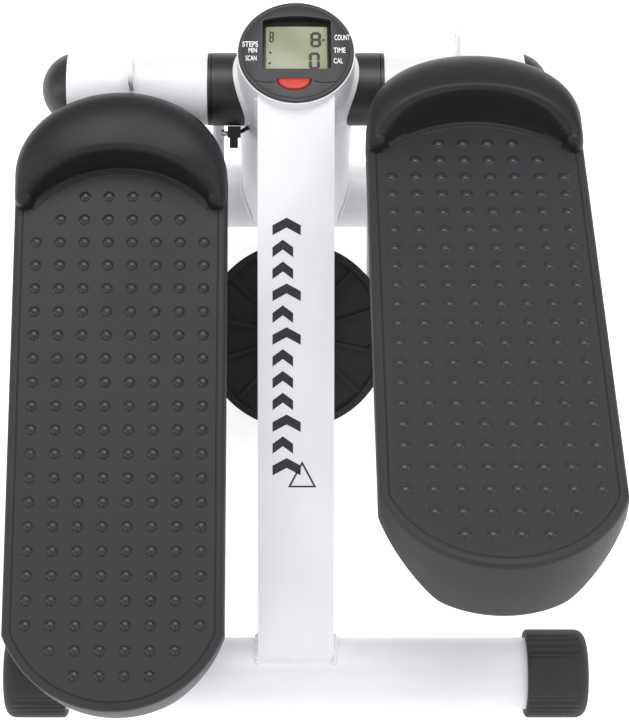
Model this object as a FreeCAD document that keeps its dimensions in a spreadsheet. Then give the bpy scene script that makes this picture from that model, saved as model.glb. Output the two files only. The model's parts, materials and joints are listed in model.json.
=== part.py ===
import FreeCAD, Part
import math
import os
import re
from FreeCAD import Placement, Rotation, Vector

# Mini stepper, in millimetres. +X is the user's right, +Y is forward, +Z is up, and the floor is
# z = 0. Every driving size is a cell of the sheet "dims"; the rest is worked out from those.
# The machine stands as it does with the left pedal down and the right pedal up.

doc = FreeCAD.newDocument("mini_stepper")

# ---------------------------------------------------------------- driving dimensions

DIMENSIONS = [
    ("axis_height", 23.5, "height of both stabiliser tubes' axes"),
    ("rear_place", -146.5, "rear stabiliser's place along Y"),
    ("front_place", 157.5, "front stabiliser's, post's and axle's place along Y"),
    ("pivot_height", 149.0, "height of the cross axle"),
    ("half_width", 162.0, "from the middle to a foot cap's end"),
    ("tube_radius", 20.0, "stabiliser tube"),
    ("tube_wall", 2.0, "stabiliser and beam wall"),
    ("cap_radius", 24.5, "foot cap"),
    ("cap_length", 34.0, "foot cap"),
    ("cap_round", 6.0, "foot cap's rounded end"),
    ("cap_floor", 12.0, "rubber beyond the tube's end"),
    ("beam_slope", 27.0, "main tube's slope, in degrees"),
    ("beam_width", 42.0, "main tube, across"),
    ("beam_depth", 42.0, "main tube, square to its slope"),
    ("beam_top", 43.5, "main tube's top face above the axle, square to the slope"),
    ("post_radius", 32.5, "post"),
    ("post_wall", 2.5, "post"),
    ("post_foot", 27.0, "height of the post's lower edge"),
    ("post_top", 187.6, "height of the post's upper edge"),
    ("boss_radius", 35.2, "boss on the post, round the axle, to its rounded ends"),
    ("axle_radius", 8.0, "cross axle"),
    ("axle_half", 135.0, "from the middle to the axle's end"),
    ("nut_radius", 13.2, "axle nut, across corners"),
    ("sleeve_radius", 20.0, "pivot sleeve"),
    ("sleeve_wall", 2.5, "pivot sleeve"),
    ("sleeve_inner", 49.4, "sleeve's inner end from the middle"),
    ("sleeve_outer", 127.8, "sleeve's outer end from the middle"),
    ("collar_radius", 20.5, "collar beside the post"),
    ("collar_end", 47.0, "collar's outer end from the middle"),
    ("running_gap", 0.05, "radial play of a turning fit"),
    ("bush_length", 20.0, "plastic bush in a sleeve"),
    ("flange_thick", 2.0, "inner bush's flange"),
    ("end_cap_length", 15.2, "domed end cap"),
    ("lug_reach", 16.0, "band lug above the sleeve"),
    ("lug_width", 16.0, "band lug, and its round end"),
    ("lug_thick", 2.5, "band lug"),
    ("lug_hole", 3.5, "band lug's hole, radius"),
    ("left_slope", 9.6, "left pedal's slope, heel lower, in degrees"),
    ("right_slope", -17.8, "right pedal's slope, heel higher, in degrees"),
    ("pedal_centre", 95.5, "pedal's middle from the machine's middle"),
    ("pedal_half", 58.0, "pedal's half width"),
    ("pedal_top", 25.5, "tread face above the axle"),
    ("pedal_low", -16.5, "underside below the axle"),
    ("skirt_corner", 6.0, "where the sloping lower side starts"),
    ("keel_half", 31.0, "half width of the flat underside"),
    ("toe_centre", 62.0, "centre of the toe's half ellipse behind the axle"),
    ("toe_reach", 48.0, "toe's half ellipse, lengthwise"),
    ("heel_centre", 288.6, "centre of the heel's arc behind the axle"),
    ("heel_radius", 62.2, "heel's arc"),
    ("hoop_rise", 26.0, "toe hoop above the tread"),
    ("hoop_back", 80.0, "toe hoop's ends behind the axle"),
    ("hoop_inner", 69.0, "radius of the hoop's inner wall"),
    ("hoop_wall", 55.8, "hoop's inner wall behind the axle"),
    ("shell_wall", 3.0, "pedal shell"),
    ("shell_room", 23.0, "room round the sleeve, radius"),
    ("arm_width", 38.0, "pedal arm"),
    ("arm_height", 18.0, "pedal arm"),
    ("arm_top", 2.0, "arm's top above the axle"),
    ("arm_end", 290.0, "arm's end behind the axle"),
    ("screw_radius", 2.5, "pedal screw"),
    ("lever_lean", 31.1, "lever's lean forward from the pedal's square, in degrees"),
    ("lever_reach", 40.0, "lever's pin from the axle"),
    ("lever_thick", 5.0, "lever plate"),
    ("lever_place", 51.5, "lever plate's inner face from the middle"),
    ("pin_radius", 4.0, "linkage pins"),
    ("open_gap", 0.7, "radial play at the pivot each linkage is opened at"),
    ("eye_radius", 9.0, "linkage eyes"),
    ("eye_width", 8.0, "linkage eyes"),
    ("disc_back", 140.4, "balance disc behind the axle, along the slope"),
    ("disc_drop", 29.4, "balance disc below the axle, square to the slope"),
    ("disc_radius", 54.0, "balance disc"),
    ("disc_thick", 10.0, "balance disc's rim"),
    ("disc_dish", 4.0, "depth of the disc's dished top"),
    ("hub_radius", 13.0, "balance disc's hub"),
    ("hub_height", 14.0, "balance disc's hub"),
    ("pin_circle", 46.0, "crank pins from the disc's centre"),
    ("disc_turn", -11.82, "disc's turn as it stands, in degrees"),
    ("rod_drop", 39.43, "tie rods below the axle, square to the slope"),
    ("damper_foot_y", 123.5, "damper's lower pin along Y"),
    ("damper_foot_z", 33.0, "damper's lower pin, height"),
    ("damper_back", 120.0, "damper's upper pin behind the axle"),
    ("damper_drop", 26.0, "damper's upper pin below the axle"),
    ("damper_length", 131.425, "pin to pin with the pedals level with each other"),
    ("damper_rate", -1.78351, "change of that length for each degree of pedal slope"),
    ("damper_tilt", 131.607, "damper's tilt from +Y with the pedals level, in degrees"),
    ("tilt_rate", 0.51342, "change of that tilt for each degree of pedal slope"),
    ("damper_radius", 14.0, "damper cylinder"),
    ("damper_bore", 11.5, "damper cylinder's bore"),
    ("rod_radius", 5.0, "piston rod"),
    ("display_radius", 31.8, "display housing"),
    ("display_top", 189.0, "display's face, height"),
]

sheet = doc.addObject("Spreadsheet::Sheet", "dims")
for row, (alias, value, note) in enumerate(DIMENSIONS, start=1):
    sheet.set(f"A{row}", note)
    sheet.set(f"B{row}", str(value))
    sheet.setAlias(f"B{row}", alias)
doc.recompute()

NAMES = {alias for alias, _, _ in DIMENSIONS}
D = {alias: float(sheet.get(alias)) for alias in NAMES}

LEFT, RIGHT = -1, 1
SIDES = {"left": LEFT, "right": RIGHT}
SLOPES = {"left": D["left_slope"], "right": D["right_slope"]}
LEVEL = (D["left_slope"] + D["right_slope"]) / 2     # both pedals' slope when they are level

# Axes that a primitive can lie along: it is drawn along Z and turned.
ALONG = {
    "x": Rotation(Vector(0, 1, 0), 90),
    "y": Rotation(Vector(1, 0, 0), -90),
    "z": Rotation(),
}

# ---------------------------------------------------------------- helpers

PARTS = []                  # finished sub-parts, in the order they are written
UP = Vector(0, 0, 1)
ACROSS = Vector(1, 0, 0)


def rule(size):
    """A size as an expression: sheet names get their sheet's name in front."""
    return re.sub(r"[A-Za-z_]\w*", lambda w: f"dims.{w[0]}" if w[0] in NAMES else w[0], str(size))


def bind(obj, **sizes):
    """Tie properties to the sheet."""
    for prop, size in sizes.items():
        obj.setExpression(prop, rule(size))
    return obj


def cylinder(name, radius, length, at=(0, 0, 0), along="z"):
    obj = doc.addObject("Part::Cylinder", name)
    obj.Placement = Placement(Vector(*at), ALONG[along])
    return bind(obj, Radius=radius, Height=length)


def across(name, radius, low, high):
    """A cylinder along X from low to high, on the X axis."""
    return cylinder(name, radius, high - low, (low, 0, 0), "x")


def box(name, length, width, height, corner=(0, 0, 0)):
    """A box given by its sizes along X, Y and Z and its lowest corner."""
    obj = doc.addObject("Part::Box", name)
    obj.Placement.Base = Vector(*corner)
    return bind(obj, Length=length, Width=width, Height=height)


def hexagon(name, radius, length, at=(0, 0, 0), along="z"):
    obj = doc.addObject("Part::Prism", name)
    obj.Polygon = 6
    obj.Placement = Placement(Vector(*at), ALONG[along])
    return bind(obj, Circumradius=radius, Height=length)


def cut(name, base, *tools):
    for number, tool in enumerate(tools):
        obj = doc.addObject("Part::Cut", f"{name}_{number}")
        obj.Base, obj.Tool = base, tool
        base = obj
    return base


def fuse(name, *shapes):
    obj = doc.addObject("Part::MultiFuse", name)
    obj.Shapes = list(shapes)
    obj.Refine = True
    return obj


def common(name, *shapes):
    obj = doc.addObject("Part::MultiCommon", name)
    obj.Shapes = list(shapes)
    return obj


def moved(obj, where):
    obj.Placement = where
    return obj


def sketch_body(name, plane, geometry, length):
    """A PartDesign body: one closed sketch on an origin plane, padded."""
    body = doc.addObject("PartDesign::Body", f"{name}_body")
    sketch = body.newObject("Sketcher::SketchObject", f"{name}_sketch")
    sketch.AttachmentSupport = (next(f for f in body.Origin.OriginFeatures if f.Role == plane), "")
    sketch.MapMode = "FlatFace"
    sketch.addGeometry(geometry, False)
    pad = body.newObject("PartDesign::Pad", f"{name}_pad")
    pad.Profile = sketch
    bind(pad, Length=length)
    body.Tip = pad
    return body


def loop(points):
    """Straight sketch lines round a closed outline."""
    corners = [Vector(*p, 0) for p in points]
    return [Part.LineSegment(a, b) for a, b in zip(corners, corners[1:] + corners[:1])]


def span(side, near, far):
    """Low and high X of a stretch that runs from near to far on one side of the middle."""
    return sorted((side * near, side * far))


def part(obj, label, where=None):
    """Name a finished sub-part and put it in its place."""
    obj.Label = label
    if where is not None:
        obj.Placement = where * obj.Placement
    PARTS.append(obj)
    return obj


# ---------------------------------------------------------------- frames of reference

PIVOT = Vector(0, D["front_place"], D["pivot_height"])


def hung(slope, x=0.0):
    """The frame of something that hangs on the axle: Y runs forward along it, Z is square to it."""
    return Placement(PIVOT + Vector(x, 0, 0), Rotation(ACROSS, slope))


SLOPING = hung(D["beam_slope"])     # the main tube's frame
DISC = SLOPING * Placement(Vector(0, -D["disc_back"], -D["disc_drop"]),
                           Rotation(UP, D["disc_turn"]))

# ---------------------------------------------------------------- stabilisers, feet, main tube, post


def lying_tube(name, y, grow=0.0):
    """The solid outside of a stabiliser tube, used to cope what is welded to it."""
    reach = D["half_width"] - D["cap_floor"]
    obj = cylinder(name, f"tube_radius + {grow}", 2 * reach, (-reach, y, D["axis_height"]), "x")
    return obj


def stabiliser(name, y):
    reach = D["half_width"] - D["cap_floor"]
    bore = cylinder(f"{name}_bore", "tube_radius - tube_wall", 2 * reach,
                    (-reach, y, D["axis_height"]), "x")
    return part(cut(f"{name}_tube", lying_tube(f"{name}_outside", y), bore), name)


def foot_cap(name, side, y):
    """A rubber cap: bored for the tube, rounded at its end, flat where it stands."""
    low, high = span(side, D["half_width"] - D["cap_length"], D["half_width"])
    body = cylinder(f"{name}_round", "cap_radius", "cap_length", (low, y, D["axis_height"]), "x")
    doc.recompute()
    end = side * D["half_width"]
    rim = next(i for i, e in enumerate(body.Shape.Edges, start=1)
               if e.Closed and abs(e.CenterOfMass.x - end) < 0.01)
    soft = doc.addObject("Part::Fillet", f"{name}_soft")
    soft.Base = body
    soft.Edges = [(rim, D["cap_round"], D["cap_round"])]
    floor = box(f"{name}_floor", "cap_length + 2", 80, 20, (low - 1, y - 40, -20))
    inner = span(side, D["half_width"] - D["cap_length"] - 1, D["half_width"] - D["cap_floor"])
    bore = cylinder(f"{name}_bore", "tube_radius", "cap_length - cap_floor + 1",
                    (inner[0], y, D["axis_height"]), "x")
    return part(cut(f"{name}_cap", soft, floor, bore), name)


for name, y in (("front", D["front_place"]), ("rear", D["rear_place"])):
    stabiliser(f"{name}_stabiliser", y)
    for side_name, side in SIDES.items():
        foot_cap(f"foot_cap_{name}_{side_name}", side, y)

# The main tube runs along the slope from the rear stabiliser to the post, coped to both.
beam_run = 360.0
beam_low = D["beam_top"] - D["beam_depth"]
beam_solid = moved(
    box("beam_solid", "beam_width", beam_run, "beam_depth"),
    SLOPING * Placement(Vector(-D["beam_width"] / 2, -beam_run + 32, beam_low), Rotation()))
beam_hollow = moved(
    box("beam_hollow", "beam_width - 2 * tube_wall", beam_run + 2, "beam_depth - 2 * tube_wall"),
    SLOPING * Placement(Vector(-D["beam_width"] / 2 + D["tube_wall"], -beam_run + 31,
                               beam_low + D["tube_wall"]), Rotation()))
post_room = cylinder("post_room", "post_radius", 300, (0, D["front_place"], 0))
# What lies behind the rear tube's axis is beyond the weld.
beam_tail = box("beam_tail", 80, 80, 120, (-40, D["rear_place"] - 80, -20))
part(cut("beam", beam_solid, beam_hollow, lying_tube("beam_cope", D["rear_place"]), beam_tail,
         post_room, box("beam_front", 80, 60, 260, (-40, D["front_place"], 0))), "main_tube")

post_bore = cylinder("post_bore", "post_radius - post_wall", "post_top - post_foot + 2",
                     (0, D["front_place"], D["post_foot"] - 1))
post_shell = cylinder("post_shell", "post_radius", "post_top - post_foot",
                      (0, D["front_place"], D["post_foot"]))
axle_way = cylinder("axle_way", "axle_radius", 80, (-40, *PIVOT[1:]), "x")
# The sensor's block hangs on the left collar, and its lead goes through the post's wall.
SENSOR = Placement(PIVOT, Rotation(ACROSS, -59))
lead_at = SENSOR.multVec(Vector(-31.3, 0, -24))
lead_turn = Vector(-23, D["front_place"] - 15, lead_at.z)
lead_inward = Placement(lead_at, Rotation(UP, lead_turn - lead_at))
lead_way = moved(cylinder("lead_way", 1.6, 12), lead_inward)
# A boss each side of the post carries the axle and the collars.
boss = common("post_boss",
              cylinder("boss_rod", "collar_radius - 0.2", 80, (-40, *PIVOT[1:]), "x"),
              cylinder("boss_end", "boss_radius", 80, (0, D["front_place"], 100)))
post_blank = fuse("post_blank", post_shell, boss)
post_cope = lying_tube("post_cope", D["front_place"])
part(cut("post_cut", post_blank, post_bore, post_cope, axle_way, lead_way), "post")

# ---------------------------------------------------------------- cross axle and what stays still on it

ON_AXLE = Placement(PIVOT, Rotation())
part(across("axle_rod", "axle_radius", -D["axle_half"], D["axle_half"]), "axle", ON_AXLE)

nut_place = D["sleeve_outer"] - 3.7
for side_name, side in SIDES.items():
    # Flanged nut: a washer face and a hexagon, bored for the axle.
    washer = across(f"washer_{side_name}", 14.6, *span(side, nut_place, nut_place + 2))
    low, high = span(side, nut_place + 1.9, D["axle_half"] - 1.5)
    hexed = hexagon(f"hex_{side_name}", "nut_radius", high - low, (low, 0, 0), "x")
    bore = across(f"nut_bore_{side_name}", "axle_radius", *span(side, 100, 150))
    part(cut(f"nut_{side_name}", fuse(f"nut_blank_{side_name}", washer, hexed), bore),
         f"axle_nut_{side_name}", ON_AXLE)

    # Collar: its inner end fits the round post.
    blank = across(f"collar_blank_{side_name}", "collar_radius", *span(side, 10, D["collar_end"]))
    hole = across(f"collar_hole_{side_name}", "axle_radius", *span(side, 5, 60))
    saddle = cylinder(f"collar_saddle_{side_name}", "boss_radius", 80, (0, 0, -40))
    part(cut(f"collar_cut_{side_name}", blank, hole, saddle), f"collar_{side_name}", ON_AXLE)

# ---------------------------------------------------------------- pedals and what turns with them


def sleeve(name, side, slope, lug_lean):
    """Pivot sleeve with its welded band lug."""
    ends = span(side, D["sleeve_inner"], D["sleeve_outer"])
    outer = across(f"{name}_outer", "sleeve_radius", *ends)
    lug_x = span(side, 90, 90 + D["lug_thick"])[0]
    lean = Placement(Vector(), Rotation(ACROSS, -lug_lean))
    eye_height = D["sleeve_radius"] + D["lug_reach"] - D["lug_width"] / 2
    lug = moved(box(f"{name}_lug", "lug_thick", "lug_width",
                    "sleeve_radius + lug_reach - lug_width / 2"),
                lean * Placement(Vector(lug_x, -D["lug_width"] / 2, 0), Rotation()))
    eye = moved(cylinder(f"{name}_lug_eye", "lug_width / 2", "lug_thick"),
                lean * Placement(Vector(lug_x, 0, eye_height), ALONG["x"]))
    hole = moved(cylinder(f"{name}_lug_hole", "lug_hole", "lug_thick + 2"),
                 lean * Placement(Vector(lug_x - 1, 0, eye_height), ALONG["x"]))
    bore = across(f"{name}_bore", "sleeve_radius - sleeve_wall", ends[0] - 1, ends[1] + 1)
    part(cut(f"{name}_cut", fuse(f"{name}_weld", outer, lug, eye), bore, hole), name, hung(slope))


def bush(name, side, slope, near, far, flange, pocket=None):
    """A plastic bush that turns on the axle; the inner one has a flange beside the collar."""
    shapes = [across(f"{name}_barrel", "sleeve_radius - sleeve_wall", *span(side, near, far))]
    if flange:
        ends = span(side, D["sleeve_inner"] - D["flange_thick"], D["sleeve_inner"])
        shapes.append(across(f"{name}_flange", "collar_radius - 0.1", *ends))
        shapes = [fuse(f"{name}_blank", *shapes)]
    hole = across(f"{name}_hole", "axle_radius + running_gap", *span(side, near - 6, far + 1))
    tools = [hole] + ([pocket] if pocket else [])
    part(cut(f"{name}_cut", shapes[0], *tools), name, hung(slope))


def end_cap(name, side, slope):
    """Domed cap over the axle nut, with a spigot in the sleeve's end."""
    high = D["end_cap_length"]
    radius = (D["sleeve_radius"] ** 2 + high**2) / (2 * high)
    ball = doc.addObject("Part::Sphere", f"{name}_ball")
    ball.Placement.Base = Vector(side * (D["sleeve_outer"] + high - radius), 0, 0)
    bind(ball, Radius=radius)
    dome = common(f"{name}_dome", ball,
                  across(f"{name}_half", "sleeve_radius + 1",
                         *span(side, D["sleeve_outer"], D["sleeve_outer"] + 20)))
    spigot = across(f"{name}_spigot", "sleeve_radius - sleeve_wall",
                    *span(side, D["sleeve_outer"] - 3.8, D["sleeve_outer"] + 1))
    room = across(f"{name}_room", 15.0, *span(side, D["sleeve_outer"] - 5, D["axle_half"] + 0.9))
    part(cut(f"{name}_cut", fuse(f"{name}_blank", dome, spigot), room), name, hung(slope))


def damper_frame(slope, x):
    """The damper's frame: Z runs from its lower pin towards its upper pin."""
    tilt = D["damper_tilt"] + D["tilt_rate"] * (slope - LEVEL)
    foot = Vector(x, D["damper_foot_y"], D["damper_foot_z"])
    return Placement(foot, Rotation(ACROSS, tilt - 90))


SCREWS = [(x, y) for x in (-9, 9) for y in (-90, -250)]


def arm(name, slope, x):
    """Square arm under the pedal, coped to the sleeve, with two ears for the damper's pin."""
    half, low = D["arm_width"] / 2, D["arm_top"] - D["arm_height"]
    solid = box(f"{name}_solid", "arm_width", "arm_end - 8", "arm_height",
                (-half, -D["arm_end"], low))
    hollow = box(f"{name}_hollow", "arm_width - 2 * tube_wall", "arm_end - 6",
                 "arm_height - 2 * tube_wall",
                 (-half + D["tube_wall"], -D["arm_end"] - 1, low + D["tube_wall"]))
    tools = [hollow, across(f"{name}_cope", "sleeve_radius", -30, 30)]
    tools += [cylinder(f"{name}_way_{i}", "screw_radius", 30, (sx, sy, -20))
              for i, (sx, sy) in enumerate(SCREWS)]
    shapes = [cut(f"{name}_tube", solid, *tools)]
    pin = (D["damper_back"], D["damper_drop"])
    for i, ear_x in enumerate((-17, 13)):
        plate = box(f"{name}_plate_{i}", 4, 22, pin[1] + low, (ear_x, -pin[0] - 11, -pin[1]))
        round_end = cylinder(f"{name}_end_{i}", 11, 4, (ear_x, -pin[0], -pin[1]), "x")
        hole = cylinder(f"{name}_hole_{i}", "pin_radius", 6, (ear_x - 1, -pin[0], -pin[1]), "x")
        shapes.append(cut(f"{name}_ear_{i}", fuse(f"{name}_blank_{i}", plate, round_end), hole))
    part(fuse(f"{name}_weld", *shapes), name, hung(slope, x))


def pedal(name, slope, x):
    """Closed blow-moulded pedal: round heel, deep tapered underside, toe hoop, arm channel."""
    half, toe, heel = D["pedal_half"], D["toe_centre"], D["heel_centre"]
    drop = math.sqrt(D["heel_radius"] ** 2 - half ** 2)     # sides meet the heel's arc here
    turn = math.atan2(drop, half)
    outline = [
        Part.LineSegment(Vector(half, -toe, 0), Vector(half, -heel - drop, 0)),
        Part.LineSegment(Vector(-half, -heel - drop, 0), Vector(-half, -toe, 0)),
        Part.ArcOfCircle(Part.Circle(Vector(0, -heel, 0), UP, D["heel_radius"]),
                         math.pi + turn, 2 * math.pi - turn),
        Part.ArcOfEllipse(Part.Ellipse(Vector(0, -toe, 0), half, D["toe_reach"]), 0, math.pi),
    ]
    plan = sketch_body(f"{name}_plan", "XY_Plane", outline, "pedal_top - pedal_low")
    plan.Placement.Base = Vector(0, 0, D["pedal_low"])
    edge, top, low, keel = half + 2, D["pedal_top"] + 2, D["pedal_low"], D["keel_half"]
    slant = (D["skirt_corner"] - low) / (half - keel)
    section = sketch_body(f"{name}_section", "XZ_Plane", loop([
        (-edge, top), (edge, top), (edge, D["skirt_corner"] + 2 * slant), (keel, low),
        (-keel, low), (-edge, D["skirt_corner"] + 2 * slant)]), 400)
    slab = common(f"{name}_slab", plan, section)

    # The hoop is part of an ellipsoid over the toe, with an arched inner wall.
    dome = doc.addObject("Part::Ellipsoid", f"{name}_dome")
    dome.Placement.Base = Vector(0, -toe, D["pedal_top"])
    bind(dome, Radius1="hoop_rise", Radius2="pedal_half - 0.4", Radius3="toe_reach - 0.4")
    front = box(f"{name}_front", 140, "hoop_back", "hoop_rise + 10",
                (-70, -D["hoop_back"], D["pedal_top"]))
    wall = cylinder(f"{name}_wall", "hoop_inner", 60,
                    (0, -D["hoop_wall"] - D["hoop_inner"], D["pedal_top"] - 1))
    hoop = cut(f"{name}_hoop", common(f"{name}_crown", dome, front), wall)

    tools = [
        across(f"{name}_room", "shell_room", -70, 70),
        box(f"{name}_channel", "arm_width + 0.4", "arm_end + 2", 40,
            (-D["arm_width"] / 2 - 0.2, -D["arm_end"] - 2, D["arm_top"] - 40)),
    ]
    # Two sealed hollows, one each side of the channel, a wall's thickness inside the slab.
    wall_in, mid = D["shell_wall"], D["arm_width"] / 2 + 4
    lean = math.hypot(1, slant) * wall_in
    base = low + wall_in
    for i, s in enumerate(SIDES.values()):
        outer = half - wall_in
        corner_z = D["skirt_corner"] + lean - slant * wall_in
        inner_x = keel + (base - low - lean) / slant
        profile = loop([(s * mid, D["pedal_top"] - wall_in), (s * outer, D["pedal_top"] - wall_in),
                        (s * outer, corner_z), (s * inner_x, base), (s * mid, base)])
        hollow = sketch_body(f"{name}_hollow_{i}", "XZ_Plane", profile,
                             "heel_centre - toe_centre + 6")
        hollow.Placement.Base = Vector(0, -toe - 4, 0)
        tools.append(hollow)
    tools += [cylinder(f"{name}_pilot_{i}", "screw_radius", 11, (sx, sy, D["arm_top"] - 1))
              for i, (sx, sy) in enumerate(SCREWS)]
    part(cut(f"{name}_shell", fuse(f"{name}_blank", slab, hoop), *tools), name, hung(slope, x))


def pedal_screws(name, slope, x):
    low = D["arm_top"] - D["arm_height"]
    shapes = []
    for i, (sx, sy) in enumerate(SCREWS):
        shank = cylinder(f"{name}_shank_{i}", "screw_radius", "arm_height + 8", (sx, sy, low))
        head = cylinder(f"{name}_head_{i}", "2 * screw_radius", 3, (sx, sy, low - 3))
        shapes.append(fuse(f"{name}_one_{i}", shank, head))
    group = doc.addObject("Part::Compound", f"{name}_group")
    group.Links = shapes
    part(group, name, hung(slope, x))


def lever(side_name, side, slope):
    """Plate welded under the sleeve; its pin carries the tie rod's eye."""
    name = f"lever_{side_name}"
    low, high = span(side, D["lever_place"], D["lever_place"] + D["lever_thick"])
    reach = D["lever_reach"]
    outline = loop([(-14, -10), (14, -10), (D["eye_radius"], -reach), (-D["eye_radius"], -reach)])
    web = sketch_body(f"{name}_web", "YZ_Plane", outline, "lever_thick")
    web.Placement.Base = Vector(low, 0, 0)
    tip = cylinder(f"{name}_tip", "eye_radius", "lever_thick", (low, 0, -reach), "x")
    hole = cylinder(f"{name}_hole", "pin_radius", 20, (low - 8, 0, -reach), "x")
    cope = across(f"{name}_cope", "sleeve_radius", low - 2, high + 2)
    where = hung(slope + D["lever_lean"])
    part(cut(f"{name}_cut", fuse(f"{name}_blank", web, tip), cope, hole), name, where)

    inner, outer = D["pin_circle"] - 6, D["lever_place"] + D["lever_thick"]
    start, end = span(side, inner, outer)
    pin = cylinder(f"{name}_pin", "pin_radius", end - start, (start, 0, -reach), "x")
    heads = [cylinder(f"{name}_head_{i}", "pin_radius + 2", 2,
                      (span(side, place, place + 2)[0], 0, -reach), "x")
             for i, place in enumerate((inner - 1.5, outer))]
    part(fuse(f"{name}_pin_all", pin, *heads), f"lever_pin_{side_name}", where)


LUG_LEAN = {"left": 0.0, "right": 41.0}      # from square to the pedal, towards the front

magnet_low, magnet_high = span(LEFT, D["sleeve_inner"] - D["flange_thick"],
                               D["sleeve_inner"] - 0.6)


def magnet(name):
    return cylinder(name, 2.5, magnet_high - magnet_low, (magnet_low, 0, -14), "x")


for side_name, side in SIDES.items():
    slope, x = SLOPES[side_name], side * D["pedal_centre"]
    sleeve(f"sleeve_{side_name}", side, slope, LUG_LEAN[side_name])
    bush(f"bush_inner_{side_name}", side, slope, D["sleeve_inner"],
         D["sleeve_inner"] + D["bush_length"], True,
         magnet("magnet_pocket") if side == LEFT else None)
    bush(f"bush_outer_{side_name}", side, slope, D["sleeve_outer"] - 4 - D["bush_length"],
         D["sleeve_outer"] - 4, False)
    end_cap(f"end_cap_{side_name}", side, slope)
    arm(f"arm_{side_name}", slope, x)
    pedal(f"pedal_{side_name}", slope, x)
    pedal_screws(f"pedal_screws_{side_name}", slope, x)
    lever(side_name, side, slope)
    pin = cylinder(f"damper_pin_up_{side_name}", "pin_radius", 40,
                   (-20, -D["damper_back"], -D["damper_drop"]), "x")
    part(pin, f"damper_pin_{side_name}", hung(slope, x))
part(magnet("magnet_slug"), "magnet", hung(D["left_slope"]))

# ---------------------------------------------------------------- dampers


def damper(side_name, side, slope):
    x = side * D["pedal_centre"]
    where = damper_frame(slope, x)
    length = D["damper_length"] + D["damper_rate"] * (slope - LEVEL)
    name = f"damper_{side_name}"
    foot, top, floor = 15.0, 94.0, 20.0       # tube's ends and the bore's floor from the lower pin

    tube = cylinder(f"{name}_tube", "damper_radius", top - foot, (0, 0, foot))
    gland = cylinder(f"{name}_gland", "damper_radius + 1.5", 9, (0, 0, top - 9))
    collar = cylinder(f"{name}_collar", "damper_radius + 1.5", 6, (0, 0, foot))
    neck = box(f"{name}_neck", 18, 14, 14, (-9, -7, 3))
    eye = cylinder(f"{name}_eye", "eye_radius", 20, (-10, 0, 0), "x")
    blank = fuse(f"{name}_blank", tube, gland, collar, neck, eye)
    bore = cylinder(f"{name}_bore", "damper_bore", top - 8 - floor, (0, 0, floor))
    way = cylinder(f"{name}_way", "rod_radius + running_gap", 20, (0, 0, top - 10))
    hole = cylinder(f"{name}_hole", "pin_radius + running_gap", 30, (-15, 0, 0), "x")
    part(cut(f"{name}_cut", blank, bore, way, hole), name, where)

    # Piston rod: piston, rod and upper eye. The eye is the linkage's open pivot.
    up = where * Placement(Vector(0, 0, length), Rotation())
    rod = cylinder(f"{name}_rod", "rod_radius", 78, (0, 0, -83))
    piston = cylinder(f"{name}_piston", "damper_bore - running_gap", 10, (0, 0, -85))
    rod_eye = cylinder(f"{name}_rod_eye", "eye_radius", 20, (-10, 0, 0), "x")
    rod_hole = cylinder(f"{name}_rod_hole", "pin_radius + open_gap", 30, (-15, 0, 0), "x")
    part(cut(f"{name}_rod_cut", fuse(f"{name}_rod_blank", rod, piston, rod_eye), rod_hole),
         f"damper_rod_{side_name}", up)

    # Bracket on the front stabiliser: two ears and a pin.
    ear_y, ear_z = D["damper_foot_y"], D["damper_foot_z"]
    ears = []
    for i, ear_x in enumerate((x - 17, x + 13)):
        outline = loop([(ear_y, ear_z - 9.5), (D["front_place"], D["axis_height"] - 15),
                        (D["front_place"], D["axis_height"] + 15), (ear_y, ear_z + 9.5)])
        plate = sketch_body(f"{name}_plate_{i}", "YZ_Plane", outline, 4)
        plate.Placement.Base = Vector(ear_x, 0, 0)
        knuckle = cylinder(f"{name}_knuckle_{i}", 9.5, 4, (ear_x, ear_y, ear_z), "x")
        ears.append(fuse(f"{name}_ear_{i}", plate, knuckle))
    web = box(f"{name}_web", 34, 6, 24, (x - 17, D["front_place"] - 24, D["axis_height"] - 12))
    pin_way = cylinder(f"{name}_pin_way", "pin_radius", 60, (x - 30, ear_y, ear_z), "x")
    part(cut(f"{name}_bracket", fuse(f"{name}_ears", *ears, web),
             lying_tube(f"{name}_cope", D["front_place"]), pin_way),
         f"damper_bracket_{side_name}")
    foot_pin = cylinder(f"{name}_foot_pin", "pin_radius", 40, (x - 20, ear_y, ear_z), "x")
    part(foot_pin, f"damper_foot_pin_{side_name}")


for side_name, side in SIDES.items():
    damper(side_name, side, SLOPES[side_name])

# ---------------------------------------------------------------- balance disc and tie rods

disc_half, hub_half = D["disc_thick"] / 2, D["hub_height"] / 2
rim = cylinder("disc_rim", "disc_radius", "disc_thick", (0, 0, -disc_half))
dish = cut("disc_dish", cylinder("disc_dish_out", "disc_radius - 4", 10,
                                 (0, 0, disc_half - D["disc_dish"])),
           cylinder("disc_dish_in", "hub_radius", 12, (0, 0, -6)))
ribs = []
RIBS = 12
for i in range(RIBS):
    rib = box(f"disc_rib_{i}", "disc_radius - 8", 2.4, "disc_dish - 1")
    rib.Placement = (Placement(Vector(), Rotation(UP, i * 360 / RIBS))
                     * Placement(Vector(6, -1.2, disc_half - D["disc_dish"] - 0.5), Rotation()))
    ribs.append(rib)
hub = cylinder("disc_hub", "hub_radius", "hub_height", (0, 0, -hub_half))
disc_blank = fuse("disc_blank", cut("disc_plate", rim, dish), hub, *ribs)
pin_ways = [cylinder(f"disc_pin_way_{i}", "pin_radius", 30, (s * D["pin_circle"], 0, -15))
            for i, s in enumerate(SIDES.values())]
bush_way = cylinder("disc_bush_way", "axle_radius", 30, (0, 0, -15))
part(cut("disc_cut", disc_blank, bush_way, *pin_ways), "balance_disc", DISC)
part(cut("disc_bush_cut", cylinder("disc_bush_out", "axle_radius", "hub_height", (0, 0, -hub_half)),
         cylinder("disc_bush_in", "rod_radius + running_gap", 30, (0, 0, -15))), "disc_bush", DISC)

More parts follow.
